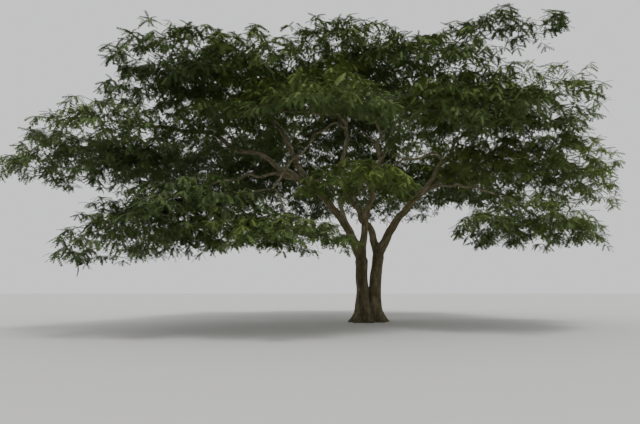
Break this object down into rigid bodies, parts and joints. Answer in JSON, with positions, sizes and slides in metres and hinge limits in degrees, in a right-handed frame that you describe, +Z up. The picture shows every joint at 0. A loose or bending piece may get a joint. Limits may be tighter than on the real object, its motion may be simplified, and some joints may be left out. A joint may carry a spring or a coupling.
{
  "type": "flame tree",
  "caption": "Whole flame tree with twin stems on one flared foot, long arching boughs and a wide, flat-topped umbrella crown of feathery leaves.",
  "frame": {"origin": "middle of the trunk's flat cut at ground level", "axes": "+Z up, +X to the right of the side that the tree is seen from, +Y away from it"},
  "size_m": [27.026, 24.8739, 12.5358],
  "materials": {
    "trunk_bark": "rough brown-grey bark",
    "bough_bark": "smooth pale grey bark",
    "foliage": "soft matt leaves"
  },
  "bodies": {
    "root": {"trunk": "trunk_bark", "second_stem": "trunk_bark", "left_stem": "trunk_bark", "middle_stem": "trunk_bark", "right_stem": "trunk_bark", "rear_stem": "trunk_bark", "upper_left": "bough_bark", "far_left": "bough_bark", "low_left": "bough_bark", "west": "bough_bark", "front_leader": "bough_bark", "front": "bough_bark", "front_low": "bough_bark", "front_high": "bough_bark", "high_right": "bough_bark", "top": "bough_bark", "right_high": "bough_bark", "right": "bough_bark", "right_low": "bough_bark", "front_middle": "bough_bark", "rear_right": "bough_bark", "rear": "bough_bark", "rear_left": "bough_bark", "upper_left_foliage_1": "foliage", "upper_left_foliage_2": "foliage", "upper_left_foliage_3": "foliage", "far_left_foliage_1": "foliage", "far_left_foliage_2": "foliage", "far_left_foliage_3": "foliage", "low_left_foliage_1": "foliage", "low_left_foliage_2": "foliage", "low_left_foliage_3": "foliage", "west_foliage_1": "foliage", "west_foliage_2": "foliage", "front_foliage_1": "foliage", "front_foliage_2": "foliage", "front_low_foliage_1": "foliage", "front_low_foliage_2": "foliage", "front_high_foliage_1": "foliage", "front_high_foliage_2": "foliage", "high_right_foliage_1": "foliage", "top_foliage_1": "foliage", "top_foliage_2": "foliage", "top_foliage_3": "foliage", "right_high_foliage_1": "foliage", "right_high_foliage_2": "foliage", "right_high_foliage_3": "foliage", "right_foliage_1": "foliage", "right_foliage_2": "foliage", "right_low_foliage_1": "foliage", "right_low_foliage_2": "foliage", "front_middle_foliage_1": "foliage", "rear_right_foliage_1": "foliage", "rear_right_foliage_2": "foliage", "rear_right_foliage_3": "foliage", "rear_foliage_1": "foliage", "rear_foliage_2": "foliage", "rear_left_foliage_1": "foliage", "rear_left_foliage_2": "foliage", "rear_left_foliage_3": "foliage"}
  },
  "joints": []
}
